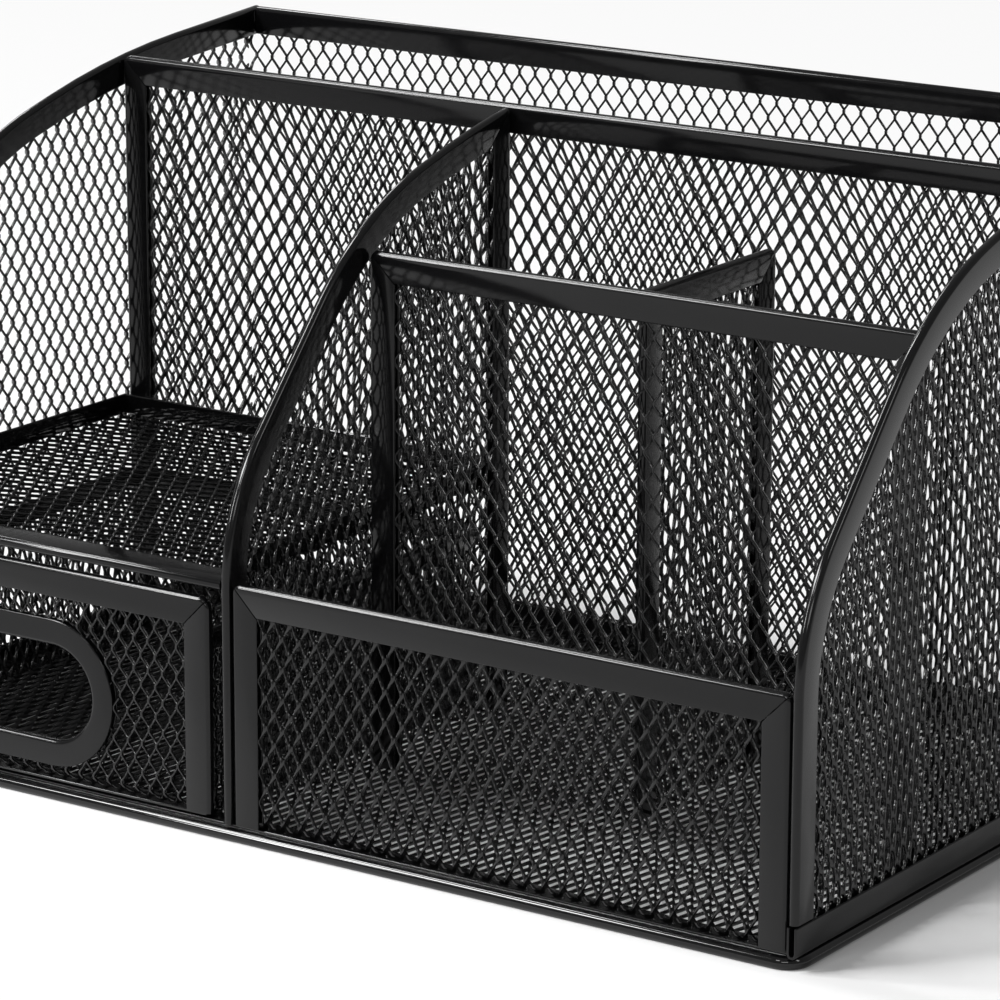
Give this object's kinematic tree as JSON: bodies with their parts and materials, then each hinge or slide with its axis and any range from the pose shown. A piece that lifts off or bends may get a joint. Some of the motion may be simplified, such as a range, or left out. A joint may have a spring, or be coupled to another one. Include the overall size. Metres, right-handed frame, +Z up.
{
  "type": "pen stand with drawer",
  "caption": "Black expanded-metal desk organizer with curved side walls, letter slot, divided pen bays, a note tray and a sliding drawer with a slot-shaped finger hole.",
  "frame": {"origin": "centre of the footprint, on the surface that the base wire rests on", "axes": "+X to the right seen from the front, +Y to the back, +Z up; the drawer opens towards -Y"},
  "size_m": [0.222, 0.141, 0.129],
  "materials": {
    "strip_enamel": "gloss black enamel on folded steel strip",
    "mesh_enamel": "gloss black enamel on expanded steel sheet",
    "wire_enamel": "gloss black enamel on round steel wire"
  },
  "bodies": {
    "frame": {"back_wall_bottom_strip": "strip_enamel", "back_wall_net": "mesh_enamel", "back_wall_top_strip": "strip_enamel", "base_wire": "wire_enamel", "floor_net": "mesh_enamel", "front_panel_left_strip": "strip_enamel", "front_panel_net": "mesh_enamel", "front_panel_right_strip": "strip_enamel", "front_panel_top_strip": "strip_enamel", "left_wall_bottom_strip": "strip_enamel", "left_wall_edging": "strip_enamel", "left_wall_net": "mesh_enamel", "middle_wall_edging": "strip_enamel", "middle_wall_net": "mesh_enamel", "middle_wall_rear_strip": "strip_enamel", "pen_divider_left_strip": "strip_enamel", "pen_divider_net": "mesh_enamel", "pen_divider_right_strip": "strip_enamel", "pen_divider_top_strip": "strip_enamel", "rear_divider_left_strip": "strip_enamel", "rear_divider_net": "mesh_enamel", "rear_divider_right_strip": "strip_enamel", "rear_divider_top_strip": "strip_enamel", "right_wall_bottom_strip": "strip_enamel", "right_wall_edging": "strip_enamel", "right_wall_net": "mesh_enamel", "small_divider_left_strip": "strip_enamel", "small_divider_net": "mesh_enamel", "small_divider_right_strip": "strip_enamel", "small_divider_top_strip": "strip_enamel", "tray_front_strip": "strip_enamel", "tray_left_flange": "mesh_enamel", "tray_net": "mesh_enamel", "tray_rear_flange": "mesh_enamel", "tray_right_flange": "mesh_enamel"},
    "drawer": {"drawer_back_net": "mesh_enamel", "drawer_back_top_strip": "strip_enamel", "drawer_finger_rim": "strip_enamel", "drawer_floor_net": "mesh_enamel", "drawer_front_left_strip": "strip_enamel", "drawer_front_net": "mesh_enamel", "drawer_front_right_strip": "strip_enamel", "drawer_front_top_strip": "strip_enamel", "drawer_left_net": "mesh_enamel", "drawer_left_top_strip": "strip_enamel", "drawer_right_net": "mesh_enamel", "drawer_right_top_strip": "strip_enamel"}
  },
  "joints": [
    {"name": "drawer_slide", "type": "slide", "parent": "frame", "child": "drawer", "axis": [0, -1, 0], "range_m": [0, 0.08]}
  ]
}
